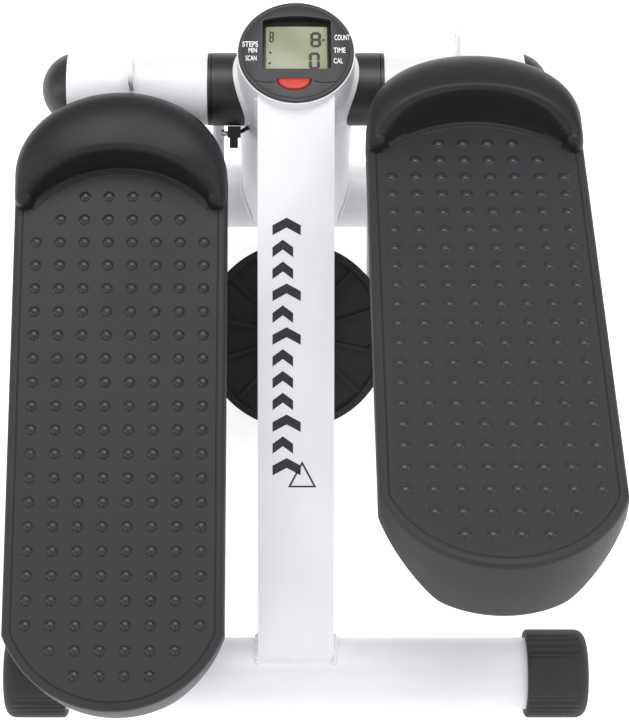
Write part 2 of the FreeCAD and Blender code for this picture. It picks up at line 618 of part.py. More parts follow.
rod_gap = D["rod_drop"] - D["disc_drop"]           # tie rods lie this far under the disc's middle
for side_name, side in SIDES.items():
    foot_z = -rod_gap - D["eye_width"] / 2 - 0.5
    pin = cylinder(f"crank_{side_name}_pin", "pin_radius", 3 - foot_z, (0, 0, foot_z))
    head = cylinder(f"crank_{side_name}_head", "pin_radius + 2", 2, (0, 0, foot_z - 2))
    spot = Placement(Vector(side * D["pin_circle"], 0, 0), Rotation())
    part(fuse(f"crank_{side_name}_all", pin, head), f"crank_pin_{side_name}", DISC * spot)

    # A tie rod lies along the slope from its crank pin to the lever's pin.
    pin_at = (DISC * spot).Base
    name = f"tie_rod_{side_name}"
    low, half = -D["eye_width"] / 2, D["eye_width"] / 2
    reach = D["disc_back"]
    back_eye = cylinder(f"{name}_back", "eye_radius", "eye_width", (0, 0, low))
    fore_eye = cylinder(f"{name}_fore", "eye_radius", "eye_width", (low, reach, 0), "x")
    shank = cylinder(f"{name}_shank", 3.5, reach - 10, (0, 5, 0), "y")
    blank = fuse(f"{name}_blank", back_eye, fore_eye, shank)
    back_hole = cylinder(f"{name}_back_hole", "pin_radius + running_gap", 20, (0, 0, -10))
    fore_hole = cylinder(f"{name}_fore_hole", "pin_radius + open_gap", 20, (-10, reach, 0), "x")
    where = Placement(pin_at, Rotation(ACROSS, D["beam_slope"])) \
        * Placement(Vector(0, 0, -rod_gap), Rotation())
    part(cut(f"{name}_cut", blank, back_hole, fore_hole), name, where)

# Stem welded under the main tube, and the bolt the disc turns on.
UNDER = SLOPING * Placement(Vector(0, -D["disc_back"], 0), Rotation())
stem_foot = -D["disc_drop"] + hub_half + 0.4
stem = cut("stem_cut", cylinder("stem_out", "eye_radius", beam_low - stem_foot, (0, 0, stem_foot)),
           cylinder("stem_in", "rod_radius", beam_low - stem_foot - 4, (0, 0, stem_foot - 1)))
part(stem, "disc_stem", UNDER)
bolt_seat = -D["disc_drop"] - hub_half - 0.4
part(fuse("bolt_all",
          cylinder("bolt_shank", "rod_radius", stem_foot - bolt_seat + 16, (0, 0, bolt_seat)),
          cylinder("bolt_flange", 11, 2, (0, 0, bolt_seat - 2)),
          hexagon("bolt_hex", 9.2, 6.4, (0, 0, bolt_seat - 8.4))), "disc_bolt", UNDER)

# ---------------------------------------------------------------- display on the post

FACE = Placement(Vector(0, D["front_place"], D["display_top"]), Rotation())
brim = D["display_top"] - D["post_top"]          # housing's height above the post
window = (-18.0, -10.8, 37.0, 31.0)              # low corner and size of the window
button_at, button_size = (-1.0, -20.0), (17.4, 7.6)


def centred(name, size, height, middle, z):
    return box(name, size[0], size[1], height,
               (middle[0] - size[0] / 2, middle[1] - size[1] / 2, z))


crown = cylinder("display_crown", "display_radius", brim, (0, 0, -brim))
plug = cylinder("display_plug", "post_radius - post_wall", 15.5, (0, 0, -16))
room = cylinder("display_room", "post_radius - post_wall - 2.5", 15.5, (0, 0, -18))
pane_way = box("display_pane_way", window[2], window[3], 10, (window[0], window[1], -5))
button_way = centred("display_button_way", (button_size[0] + 0.6, button_size[1] + 0.6), 10,
                     button_at, -5)
doc.recompute()
edge = next(i for i, e in enumerate(crown.Shape.Edges, start=1)
            if e.Closed and abs(e.CenterOfMass.z) < 0.01)
crown_soft = doc.addObject("Part::Fillet", "display_crown_soft")
crown_soft.Base = crown
crown_soft.Edges = [(edge, 0.8, 0.8)]
part(cut("display_cut", fuse("display_blank", crown_soft, plug), room, pane_way, button_way),
     "display_housing", FACE)
part(box("display_pane", window[2], window[3], 1.6), "display_lens",
     FACE * Placement(Vector(window[0], window[1], -2.4), Rotation()))
part(box("display_glass", 35, 29, 2.6), "lcd_panel",
     FACE * Placement(Vector(window[0] + 1, window[1] + 1, -6.6), Rotation()))
part(cylinder("display_board", 26, 1.6), "circuit_board",
     FACE * Placement(Vector(0, 0, -10.2), Rotation()))
part(cylinder("display_cell", 5.8, 5.4), "battery",
     FACE * Placement(Vector(0, 8, -15.8), Rotation()))
part(fuse("button_all",
          centred("button_head", button_size, 4.6, button_at, -3.8),
          centred("button_flange", (button_size[0] + 2, button_size[1] + 2), 1.2, button_at, -4.9),
          centred("button_stem", (6, 4), 2.4, button_at, -7.0)), "button", FACE)

# ---------------------------------------------------------------- step sensor

lead_socket = moved(cylinder("lead_socket", 1.1, 6, (0, 0, -3)), lead_inward)
sensor_blank = moved(
    cut("sensor_bored",
        fuse("sensor_all", box("sensor_block", 7.2, 10, 6.5, (-38.5, -5, -27.2)),
             box("sensor_tail", 4.6, 8, 6, (-37.4, -4, -33))),
        cylinder("sensor_screw_hole", 1.5, 4, (-39.5, 0, -25), "x")), SENSOR)
part(cut("sensor_cut", sensor_blank, lead_socket), "sensor")
part(fuse("sensor_screw_all", cylinder("sensor_screw_shank", 1.5, 5.1, (-40.6, 0, -25), "x"),
          cylinder("sensor_screw_head", 2.4, 1.6, (-42, 0, -25), "x")), "sensor_screw", SENSOR)
lead_a = moved(cylinder("lead_a", 1.1, (lead_turn - lead_at).Length), lead_inward)
lead_rise = Vector(0, 3, D["display_top"] - 10.3 - lead_turn.z)
lead_b = moved(cylinder("lead_b", 1.1, lead_rise.Length),
               Placement(lead_turn, Rotation(UP, lead_rise)))
lead_elbow = doc.addObject("Part::Sphere", "lead_elbow")
lead_elbow.Radius = 1.1
lead_elbow.Placement.Base = lead_turn
part(fuse("lead_all", lead_a, lead_b, lead_elbow), "sensor_lead")

# ---------------------------------------------------------------- check and write

doc.recompute()
for obj in doc.Objects:
    if "Invalid" in obj.State or "Error" in obj.State:
        raise RuntimeError(f"{obj.Name} did not rebuild: {obj.State}")
os.makedirs("parts", exist_ok=True)
for obj in PARTS:
    shape = obj.Shape
    if shape.isNull() or not shape.isValid():
        raise RuntimeError(f"{obj.Label} has no valid shape")
    shape.exportStep(f"parts/{obj.Label}.step")
    size = shape.BoundBox
    print(f"{obj.Label:26s} solids {len(shape.Solids)}  x {size.XMin:8.2f} {size.XMax:8.2f}"
          f"  y {size.YMin:8.2f} {size.YMax:8.2f}  z {size.ZMin:8.2f} {size.ZMax:8.2f}")
print(len(PARTS), "sub-parts")
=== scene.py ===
# %% [markdown]
# # A mini stepper
#
# The machine was drawn as solids first, and those solids come in here as a fixed frame. This
# script dresses them: it gives each one a real finish, and makes again, as detailed meshes, the
# pieces whose moulded shapes are too soft for plain solids. It loads the frame first, because
# everything else is placed by it.

# %% Load the frame
import json
import math

import bmesh
import bpy
from mathutils import Matrix, Vector


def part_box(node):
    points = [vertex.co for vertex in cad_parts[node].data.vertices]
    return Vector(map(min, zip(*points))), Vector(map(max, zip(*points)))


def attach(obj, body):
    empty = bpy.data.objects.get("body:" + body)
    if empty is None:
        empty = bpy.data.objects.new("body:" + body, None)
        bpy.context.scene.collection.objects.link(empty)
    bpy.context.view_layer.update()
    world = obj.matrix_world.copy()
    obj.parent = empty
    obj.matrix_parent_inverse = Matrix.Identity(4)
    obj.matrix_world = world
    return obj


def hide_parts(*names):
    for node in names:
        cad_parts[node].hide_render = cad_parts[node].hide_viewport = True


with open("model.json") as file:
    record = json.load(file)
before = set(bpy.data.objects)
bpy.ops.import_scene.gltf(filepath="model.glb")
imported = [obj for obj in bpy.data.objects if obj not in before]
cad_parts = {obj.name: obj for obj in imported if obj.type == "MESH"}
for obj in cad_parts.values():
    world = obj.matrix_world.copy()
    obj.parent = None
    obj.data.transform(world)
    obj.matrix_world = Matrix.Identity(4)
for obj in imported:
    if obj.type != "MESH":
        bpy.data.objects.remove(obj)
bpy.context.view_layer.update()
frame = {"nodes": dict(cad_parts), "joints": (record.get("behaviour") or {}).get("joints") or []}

MM = 0.001
pivot = Vector(next(j["pos_m"] for j in frame["joints"] if j["name"] == "left_pedal"))

# %% [markdown]
# ## Camera
#
# A product picture of a flat-looking thing is taken from high up, with a long lens, so that the
# treads are seen almost square on. The lens is about 108 mm on a full-frame sensor, and the
# camera looks down at 66 degrees. Depth of field stays off, because a catalogue picture is sharp
# from front to back.

# %% Camera
camera_data = bpy.data.cameras.new("studio_camera")
camera_data.lens = 107.85
camera_data.sensor_width = 36.0
camera_data.shift_x = 0.0354
camera_data.clip_end = 20.0
camera = bpy.data.objects.new("studio_camera", camera_data)
camera.location = Vector((-3.84, -474.7, 1202.3)) * MM
camera.rotation_euler = (math.radians(90 - 66.18), 0, 0)
bpy.context.scene.collection.objects.link(camera)
bpy.context.scene.camera = camera
print("camera", round(camera.location.z / MM), "mm above the floor")

# %% [markdown]
# ## Light
#
# White painted tube on a white ground only shows its shape if the light is uneven. A big softbox
# hangs almost straight above the machine, so that tops are bright and what lies under them is
# not. Two smaller ones behind the user's place fill the faces turned that way and put a pair of
# small highlights on each stud of the treads. Two strip boxes light the sides, and the room
# itself is a dim grey.

# %% Light
def softbox(name, place, target, size, watts):
    """A rectangular light at place, in metres, that faces target."""
    lamp = bpy.data.lights.new(name, "AREA")
    lamp.shape, lamp.size, lamp.size_y, lamp.energy = "RECTANGLE", size[0], size[1], watts
    lamp_object = bpy.data.objects.new(name, lamp)
    lamp_object.location = place
    toward = Vector(target) - Vector(place)
    lamp_object.rotation_euler = toward.to_track_quat("-Z", "Y").to_euler()
    bpy.context.scene.collection.objects.link(lamp_object)


softbox("softbox_top", (0.05, 0.65, 2.0), (0, 0, 0.1), (1.4, 1.0), 24)
softbox("behind_left", (-0.8, -1.2, 1.2), (0, 0.1, 0.12), (0.7, 0.7), 5)
softbox("behind_right", (0.8, -1.2, 1.2), (0, 0.1, 0.12), (0.7, 0.7), 5)
softbox("strip_left", (-1.5, -0.2, 0.9), (0, 0, 0.15), (0.5, 1.6), 7)
softbox("strip_right", (1.5, -0.1, 1.0), (0, 0, 0.15), (0.5, 1.6), 7)
room = bpy.data.worlds.new("studio_room")
room.use_nodes = True
room.node_tree.nodes["Background"].inputs["Color"].default_value = (0.98, 0.98, 1.0, 1)
room.node_tree.nodes["Background"].inputs["Strength"].default_value = 0.56
bpy.context.scene.world = room
bpy.context.scene.view_settings.view_transform = "Standard"

# %% [markdown]
# ## Finishes
#
# Each finish starts from what the real surface is. Its colours are written as sRGB hex values,
# which is how a paint card or a colour picker gives them, and one function turns them into the
# linear values that the renderer adds up. One more small function adds a node with its settings
# and its links, so that a material below reads as a list of what it is made of.

# %% Colour and node helpers
def to_linear(code):
    """An sRGB hex colour as the four linear values a socket takes."""
    steps = [int(code[i:i + 2], 16) / 255 for i in (1, 3, 5)]
    return tuple(c / 12.92 if c <= 0.04045 else ((c + 0.055) / 1.055) ** 2.4
                 for c in steps) + (1.0,)


def feed(tree, node, inputs):
    """Give each named input of a node a value, or another node's output."""
    for key, value in inputs.items():
        if isinstance(value, bpy.types.NodeSocket):
            tree.links.new(value, node.inputs[key])
        else:
            node.inputs[key].default_value = value


def add(tree, kind, inputs, stops=(), **settings):
    """Add a node with its settings and links; a colour ramp also takes its stops."""
    node = tree.nodes.new(kind)
    for key, value in settings.items():
        setattr(node, key, value)
    for i, (place, code) in enumerate(stops):
        stop = node.color_ramp.elements[i] if i < 2 else node.color_ramp.elements.new(place)
        stop.position, stop.color = place, to_linear(code)
    feed(tree, node, inputs)
    return node


def new_finish(name):
    """An empty material: itself, its tree, its shader, and a point's place in millimetres."""
    finish = bpy.data.materials.new(name)
    finish.use_nodes = True
    tree = finish.node_tree
    here = add(tree, "ShaderNodeTexCoord", {})
    in_mm = add(tree, "ShaderNodeVectorMath", {0: here.outputs["Object"], 1: [1 / MM] * 3},
                operation="MULTIPLY")
    return finish, tree, tree.nodes["Principled BSDF"], in_mm.outputs["Vector"]


print("pedal plastic #48484B is linear", [round(v, 4) for v in to_linear("#48484B")[:3]])

# %% [markdown]
# ### Powder-coated steel
#
# The tubes are mild steel, sprayed with white polyester powder and baked. The powder flows into
# a smooth skin with a very fine orange peel, about 1.5 mm from hill to hill, and never lies quite
# evenly, which gives long faint patches. Its gloss is that of an eggshell: IOR 1.5, roughness
# about 0.35. The peel is a noise bump, and the patches are a slow noise in colour and roughness.

# %% Powder-coated steel
powder_coat, tree, shader, at_mm = new_finish("powder_coated_steel")
patches = add(tree, "ShaderNodeTexNoise", {"Vector": at_mm, "Scale": 1 / 55, "Detail": 3.0})
white = add(tree, "ShaderNodeValToRGB", {"Fac": patches.outputs["Fac"]},
            stops=[(0.3, "#DEDEE1"), (0.7, "#E6E6E9")])
peel = add(tree, "ShaderNodeTexNoise", {"Vector": at_mm, "Scale": 1 / 1.5, "Detail": 1.0})
skin = add(tree, "ShaderNodeBump", {"Height": peel.outputs["Fac"], "Strength": 0.35,
                                    "Distance": 0.04 * MM})
gloss = add(tree, "ShaderNodeMapRange", {"Value": patches.outputs["Fac"], "To Min": 0.30,
                                         "To Max": 0.42})
feed(tree, shader, {"Base Color": white.outputs["Color"], "Normal": skin.outputs["Normal"],
                    "Roughness": gloss.outputs["Result"], "IOR": 1.5})
print(powder_coat.name, len(tree.nodes), "nodes")

# %% [markdown]
# ### Moulded polypropylene
#
# The treads and toe hoops are blown or injected in charcoal polypropylene. The mould is
# spark-eroded, which leaves a grain of small pits about 0.5 mm apart, drawn here at 0.9 mm so
# that it shows. The grain breaks up the shine, so the roughness is about 0.5, and shoes polish
# some patches a little. The hoops are the same plastic in a smoother mould, and the studs' tops
# are the shiniest, because soles rub them first.

# %% Moulded polypropylene
def polypropylene(name, dark, light, grain_depth, rough, shine=0.25):
    """Charcoal polypropylene from a grained mould."""
    finish, tree, shader, at_mm = new_finish(name)
    cloud = add(tree, "ShaderNodeTexNoise", {"Vector": at_mm, "Scale": 1 / 40, "Detail": 4.0})
    grain = add(tree, "ShaderNodeTexNoise", {"Vector": at_mm, "Scale": 1 / 0.9, "Detail": 2.0})
    speck = add(tree, "ShaderNodeTexVoronoi", {"Vector": at_mm, "Scale": 1 / 1.8})
    mixed = add(tree, "ShaderNodeMath", {0: cloud.outputs["Fac"], 1: grain.outputs["Fac"]},
                operation="ADD")
    charcoal = add(tree, "ShaderNodeValToRGB", {"Fac": mixed.outputs["Value"]},
                   stops=[(0.55, dark), (0.95, light)])
    pits = add(tree, "ShaderNodeMath", {0: grain.outputs["Fac"], 1: speck.outputs["Distance"]},
               operation="ADD")
    skin = add(tree, "ShaderNodeBump", {"Height": pits.outputs["Value"], "Strength": 0.5,
                                        "Distance": grain_depth * MM})
    worn = add(tree, "ShaderNodeMapRange", {"Value": cloud.outputs["Fac"], "From Min": 0.3,
                                            "From Max": 0.7, "To Min": rough - 0.06,
                                            "To Max": rough + 0.06})
    feed(tree, shader, {"Base Color": charcoal.outputs["Color"], "IOR": 1.49,
                        "Normal": skin.outputs["Normal"], "Roughness": worn.outputs["Result"],
                        "Specular IOR Level": shine})
    return finish


tread_plastic = polypropylene("moulded_polypropylene_tread", "#28282A", "#2F2F32", 0.06, 0.52)
hoop_plastic = polypropylene("moulded_polypropylene_hoop", "#19191B", "#1F1F21", 0.03, 0.44)
stud_plastic = polypropylene("polished_polypropylene_stud", "#222224", "#29292B", 0.02, 0.34, 0.38)
print("three surfaces:", tread_plastic.name, hoop_plastic.name, stud_plastic.name)

# %% [markdown]
# ### Rubber, nylon and ABS
#
# Four dark plastics look alike until the light moves. The foot caps are carbon-filled rubber,
# matt and a little dusty. The bushes, collars and end caps are black nylon with a dull sheen.
# The display's housing is textured ABS, greyer and finer. The lead has a soft PVC sleeve.

# %% Rubber, nylon and ABS
foot_rubber, tree, shader, at_mm = new_finish("carbon_filled_rubber")
dust = add(tree, "ShaderNodeTexNoise", {"Vector": at_mm, "Scale": 1 / 9, "Detail": 6.0})
black = add(tree, "ShaderNodeValToRGB", {"Fac": dust.outputs["Fac"]},
            stops=[(0.35, "#1B1B1C"), (0.75, "#2A2A2B")])
pores = add(tree, "ShaderNodeTexNoise", {"Vector": at_mm, "Scale": 1 / 0.7, "Detail": 3.0})
skin = add(tree, "ShaderNodeBump", {"Height": pores.outputs["Fac"], "Strength": 0.6,
                                    "Distance": 0.08 * MM})
dull = add(tree, "ShaderNodeMapRange", {"Value": dust.outputs["Fac"], "To Min": 0.55,
                                        "To Max": 0.85})
feed(tree, shader, {"Base Color": black.outputs["Color"], "Normal": skin.outputs["Normal"],
                    "Roughness": dull.outputs["Result"], "IOR": 1.52})

black_nylon, tree, shader, at_mm = new_finish("black_nylon")
cloud = add(tree, "ShaderNodeTexNoise", {"Vector": at_mm, "Scale": 1 / 14, "Detail": 4.0})
black = add(tree, "ShaderNodeValToRGB", {"Fac": cloud.outputs["Fac"]},
            stops=[(0.3, "#0B0B0C"), (0.7, "#131314")])
fine = add(tree, "ShaderNodeTexNoise", {"Vector": at_mm, "Scale": 1 / 0.8, "Detail": 2.0})
skin = add(tree, "ShaderNodeBump", {"Height": fine.outputs["Fac"], "Strength": 0.4,
                                    "Distance": 0.03 * MM})
sheen = add(tree, "ShaderNodeMapRange", {"Value": cloud.outputs["Fac"], "To Min": 0.36,
                                         "To Max": 0.52})
feed(tree, shader, {"Base Color": black.outputs["Color"], "Normal": skin.outputs["Normal"],
                    "Roughness": sheen.outputs["Result"], "IOR": 1.53})

textured_abs, tree, shader, at_mm = new_finish("textured_abs")
spark = add(tree, "ShaderNodeTexVoronoi", {"Vector": at_mm, "Scale": 1 / 0.6})
tint = add(tree, "ShaderNodeTexNoise", {"Vector": at_mm, "Scale": 1 / 12, "Detail": 4.0})
grey = add(tree, "ShaderNodeValToRGB", {"Fac": tint.outputs["Fac"]},
           stops=[(0.3, "#202022"), (0.7, "#262628")])
skin = add(tree, "ShaderNodeBump", {"Height": spark.outputs["Distance"], "Strength": 0.4,
                                    "Distance": 0.03 * MM})
dull = add(tree, "ShaderNodeMapRange", {"Value": tint.outputs["Fac"], "To Min": 0.45,
                                        "To Max": 0.6})
feed(tree, shader, {"Base Color": grey.outputs["Color"], "Normal": skin.outputs["Normal"],
                    "Roughness": dull.outputs["Result"], "IOR": 1.54})

soft_pvc, tree, shader, at_mm = new_finish("soft_pvc")
draw = add(tree, "ShaderNodeTexNoise", {"Vector": at_mm, "Scale": 1 / 3, "Detail": 2.0})
black = add(tree, "ShaderNodeValToRGB", {"Fac": draw.outputs["Fac"]},
            stops=[(0.3, "#18181A"), (0.7, "#232325")])
feed(tree, shader, {"Base Color": black.outputs["Color"], "Roughness": 0.45, "IOR": 1.53})
print("dark plastics:", foot_rubber.name, black_nylon.name, textured_abs.name, soft_pvc.name)

# %% [markdown]
# ### Metals
#
# Zinc-plated fasteners are a slightly blue, cloudy grey. The piston rods are hard chrome, ground
# round and round, so they have hair lines across their length. The disc turns on a sintered
# bronze bush, which is grainy because it is pressed from powder and soaked in oil. Metals keep
# the default IOR, and their colour is the colour of what they reflect.

# %% Metals
zinc_plate, tree, shader, at_mm = new_finish("zinc_plated_steel")
bloom = add(tree, "ShaderNodeTexNoise", {"Vector": at_mm, "Scale": 1 / 3, "Detail": 5.0})
zinc = add(tree, "ShaderNodeValToRGB", {"Fac": bloom.outputs["Fac"]},
           stops=[(0.3, "#A9ADB3"), (0.7, "#C6C9CD")])
cloudy = add(tree, "ShaderNodeMapRange", {"Value": bloom.outputs["Fac"], "To Min": 0.25,
                                          "To Max": 0.45})
feed(tree, shader, {"Base Color": zinc.outputs["Color"], "Roughness": cloudy.outputs["Result"],
                    "Metallic": 1.0})

hard_chrome, tree, shader, at_mm = new_finish("hard_chrome")
lines = add(tree, "ShaderNodeTexNoise", {"Vector": at_mm, "Scale": 1 / 0.8, "Detail": 3.0})
tone = add(tree, "ShaderNodeValToRGB", {"Fac": lines.outputs["Fac"]},
           stops=[(0.3, "#C9CCD0"), (0.7, "#D9DBDE")])
ground = add(tree, "ShaderNodeMapRange", {"Value": lines.outputs["Fac"], "To Min": 0.08,
                                          "To Max": 0.2})
feed(tree, shader, {"Base Color": tone.outputs["Color"], "Roughness": ground.outputs["Result"],
                    "Metallic": 1.0})

oiled_bronze, tree, shader, at_mm = new_finish("sintered_bronze")
powder = add(tree, "ShaderNodeTexVoronoi", {"Vector": at_mm, "Scale": 1 / 0.7})
tone = add(tree, "ShaderNodeValToRGB", {"Fac": powder.outputs["Distance"]},
           stops=[(0.1, "#8C6A3A"), (0.7, "#B08A4E")])
skin = add(tree, "ShaderNodeBump", {"Height": powder.outputs["Distance"], "Strength": 0.5,
                                    "Distance": 0.05 * MM})
feed(tree, shader, {"Base Color": tone.outputs["Color"], "Normal": skin.outputs["Normal"],
                    "Roughness": 0.42, "Metallic": 1.0})
print("metals:", zinc_plate.name, hard_chrome.name, oiled_bronze.name)

# %% [markdown]
# ### Damper paint, circuit board and the display's own finishes
#
# The damper bodies are sprayed with a semi-gloss black that shows a coarser peel than powder.
# The circuit board is glass fibre under green solder mask, with copper tracks 1.3 mm apart that
# raise the mask. The liquid-crystal pane is a warm grey-green film, and its window is clear
# acrylic, thin enough to be treated as almost not there. The button is translucent red silicone.

# %% Paint, board and display finishes
black_enamel, tree, shader, at_mm = new_finish("black_enamel")
peel = add(tree, "ShaderNodeTexNoise", {"Vector": at_mm, "Scale": 1 / 2.0, "Detail": 1.5})
tone = add(tree, "ShaderNodeValToRGB", {"Fac": peel.outputs["Fac"]},
           stops=[(0.3, "#151516"), (0.7, "#1D1D1F")])
skin = add(tree, "ShaderNodeBump", {"Height": peel.outputs["Fac"], "Strength": 0.4,
                                    "Distance": 0.05 * MM})
feed(tree, shader, {"Base Color": tone.outputs["Color"], "Normal": skin.outputs["Normal"],
                    "Roughness": 0.28, "IOR": 1.5})

solder_mask, tree, shader, at_mm = new_finish("green_solder_mask")
tracks = add(tree, "ShaderNodeTexBrick", {"Vector": at_mm, "Scale": 1.0, "Brick Width": 9.0,
             "Row Height": 1.3, "Mortar Size": 0.25, "Color1": to_linear("#1F5B3A"),
             "Color2": to_linear("#24663F"), "Mortar": to_linear("#17452C")})
skin = add(tree, "ShaderNodeBump", {"Height": tracks.outputs["Fac"], "Strength": 0.5,
                                    "Distance": 0.04 * MM}, invert=True)
feed(tree, shader, {"Base Color": tracks.outputs["Color"], "Normal": skin.outputs["Normal"],
                    "Roughness": 0.35, "IOR": 1.55})

lcd_film, tree, shader, at_mm = new_finish("liquid_crystal_film")
tone = add(tree, "ShaderNodeTexNoise", {"Vector": at_mm, "Scale": 1 / 22, "Detail": 2.0})
green = add(tree, "ShaderNodeValToRGB", {"Fac": tone.outputs["Fac"]},
            stops=[(0.3, "#94997D"), (0.7, "#9EA387")])
feed(tree, shader, {"Base Color": green.outputs["Color"], "Roughness": 0.3, "IOR": 1.5})

lcd_ink, tree, shader, at_mm = new_finish("liquid_crystal_segment")
tone = add(tree, "ShaderNodeTexNoise", {"Vector": at_mm, "Scale": 1 / 2, "Detail": 1.0})
dark = add(tree, "ShaderNodeValToRGB", {"Fac": tone.outputs["Fac"]},
           stops=[(0.3, "#14170F"), (0.7, "#1C2016")])
feed(tree, shader, {"Base Color": dark.outputs["Color"], "Roughness": 0.4})

clear_acrylic, tree, shader, at_mm = new_finish("clear_acrylic")
wipe = add(tree, "ShaderNodeTexNoise", {"Vector": at_mm, "Scale": 1 / 5, "Detail": 4.0})
smear = add(tree, "ShaderNodeMapRange", {"Value": wipe.outputs["Fac"], "To Min": 0.02,
                                         "To Max": 0.09})
feed(tree, shader, {"Base Color": to_linear("#2A2C2A"), "Roughness": smear.outputs["Result"],
                    "IOR": 1.49, "Alpha": 0.05})

red_silicone, tree, shader, at_mm = new_finish("red_silicone")
tone = add(tree, "ShaderNodeTexNoise", {"Vector": at_mm, "Scale": 1 / 6, "Detail": 2.0})
red = add(tree, "ShaderNodeValToRGB", {"Fac": tone.outputs["Fac"]},
          stops=[(0.3, "#B01F12"), (0.7, "#BE2617")])
skin = add(tree, "ShaderNodeBump", {"Height": tone.outputs["Fac"], "Strength": 0.2,
                                    "Distance": 0.05 * MM})
feed(tree, shader, {"Base Color": red.outputs["Color"], "Normal": skin.outputs["Normal"],
                    "Roughness": 0.38, "IOR": 1.43})

printed_white, tree, shader, at_mm = new_finish("pad_printed_white")
tone = add(tree, "ShaderNodeTexNoise", {"Vector": at_mm, "Scale": 1 / 0.8, "Detail": 1.0})
ink = add(tree, "ShaderNodeValToRGB", {"Fac": tone.outputs["Fac"]},
          stops=[(0.3, "#E4E4E2"), (0.7, "#F6F6F4")])
feed(tree, shader, {"Base Color": ink.outputs["Color"], "Roughness": 0.5})

cut_vinyl, tree, shader, at_mm = new_finish("cut_vinyl_black")
tone = add(tree, "ShaderNodeTexNoise", {"Vector": at_mm, "Scale": 1 / 4, "Detail": 3.0})
black = add(tree, "ShaderNodeValToRGB", {"Fac": tone.outputs["Fac"]},
            stops=[(0.3, "#1B1B1D"), (0.7, "#252528")])
feed(tree, shader, {"Base Color": black.outputs["Color"], "Roughness": 0.4, "IOR": 1.52})
print("materials so far:", len(bpy.data.materials))

# %% [markdown]
# ## Dressing the frame
#
# Each solid came in with a plain material named for its finish slot. Its mesh stays as it is,
# and only the slot's material changes, so a shape that is already right costs nothing more.

# %% Dress the frame
FINISHES = {
    "painted_tube": powder_coat, "foot_rubber": foot_rubber, "black_plastic": black_nylon,
    "pedal_plastic": tread_plastic, "display_plastic": textured_abs,
    "clear_lens": clear_acrylic, "lcd_glass": lcd_film, "red_button": red_silicone,
    "circuit_board": solder_mask, "plated_steel": zinc_plate, "bronze": oiled_bronze,
    "black_paint": black_enamel, "piston_chrome": hard_chrome, "lead_sleeve": soft_pvc,
}
for node in frame["nodes"].values():
    for place in node.material_slots:
        place.material = FINISHES[place.material.name.split(".")[0]]
print("dressed", len(frame["nodes"]), "solids in", len(FINISHES), "finishes")

# %% [markdown]
# ## Mesh helpers
#
# Most moulded shapes here are a stack of closed outlines, each a little above or inside the last,
# with faces between them. Writing the outlines out gives full control of every rounded edge, and
# keeps the faces in neat rows, which a bevel after a boolean would not. All sizes are in
# millimetres, and a piece's own axes are turned to its place by one matrix.

# %% Mesh helpers
SMOOTH = math.radians(38)


def to_object(name, bm, finish, body, where=Matrix()):
    """Finish a mesh drawn in millimetres: place it, shade it, and let it ride on a body."""
    bmesh.ops.recalc_face_normals(bm, faces=bm.faces)
    mesh = bpy.data.meshes.new(name)
    bm.to_mesh(mesh)
    bm.free()
    mesh.transform(Matrix.Scale(MM, 4))
    mesh.shade_smooth()
    mesh.set_sharp_from_angle(angle=SMOOTH)
    mesh.materials.append(finish)
    piece = bpy.data.objects.new(name, mesh)
    piece.matrix_world = where
    bpy.context.scene.collection.objects.link(piece)
    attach(piece, body)
    return piece


def stack(rings, bm=None, lids=(True, True)):
    """Faces between rings of points; each ring has the same number of points, in order."""
    bm = bm or bmesh.new()
    rows = [[bm.verts.new(p) for p in ring] for ring in rings]
    count = len(rows[0])
    for low, high in zip(rows, rows[1:]):
        for i in range(count):
            j = (i + 1) % count
            bm.faces.new((low[i], low[j], high[j], high[i]))
    for row, wanted in ((rows[0], lids[0]), (rows[-1], lids[1])):
        if wanted:
            bm.faces.new(row)
    return bm


def carve(piece, cutters):
    """Cut other objects out of a piece, then delete them."""
    for cutter in cutters:
        step = piece.modifiers.new("carve", "BOOLEAN")
        step.object, step.operation, step.solver = cutter, "DIFFERENCE", "EXACT"
        shown = piece.evaluated_get(bpy.context.evaluated_depsgraph_get())
        mesh = bpy.data.meshes.new_from_object(shown)
        piece.modifiers.clear()
        old, piece.data = piece.data, mesh
        bpy.data.meshes.remove(old)
        bpy.data.objects.remove(cutter)
    piece.data.shade_smooth()
    piece.data.set_sharp_from_angle(angle=SMOOTH)


def cutter(name, bm, where=Matrix()):
    """A mesh in millimetres, used only to cut with."""
    bmesh.ops.recalc_face_normals(bm, faces=bm.faces)
    mesh = bpy.data.meshes.new(name)
    bm.to_mesh(mesh)
    bm.free()
    mesh.transform(Matrix.Scale(MM, 4))
    tool = bpy.data.objects.new(name, mesh)
    tool.matrix_world = where
    bpy.context.scene.collection.objects.link(tool)
    bpy.context.view_layer.update()
    return tool


def arc(centre, radii, start, end, steps):
    """Points on an ellipse's arc, angles in degrees."""
    turns = [math.radians(start + (end - start) * i / steps) for i in range(steps + 1)]
    return [(centre[0] + radii[0] * math.cos(t), centre[1] + radii[1] * math.sin(t))
            for t in turns]


print("a shaded edge is sharp above", round(math.degrees(SMOOTH)), "degrees")

# %% [markdown]
# ## Pedal shells
#
# Each pedal is one blown shell: a flat tread with a rounded heel, a skirt, and lower sides that
# slope in to a narrower underside. Underneath it has a channel for the steel arm and a hollow for
# the pivot sleeve. The outline is a half ellipse at the toe, two straight sides and a large arc at
# the heel, and moving that outline in by a few millimetres gives every other ring. A fine groove
# runs inside the tread's edge, where the studded insert stops.

# %% Pedal sizes
SLOPES = {"left": 9.6, "right": -17.8}         # heel lower, in degrees
SIDE = {"left": -1, "right": 1}
HALF, TOE_Y, TOE_REACH = 58.0, -62.0, 48.0
HEEL_Y, HEEL_R = -288.6, 62.2
TREAD, KEEL, KEEL_HALF, CORNER = 25.5, -16.5, 31.0, 6.0
PEDAL_X = 95.5


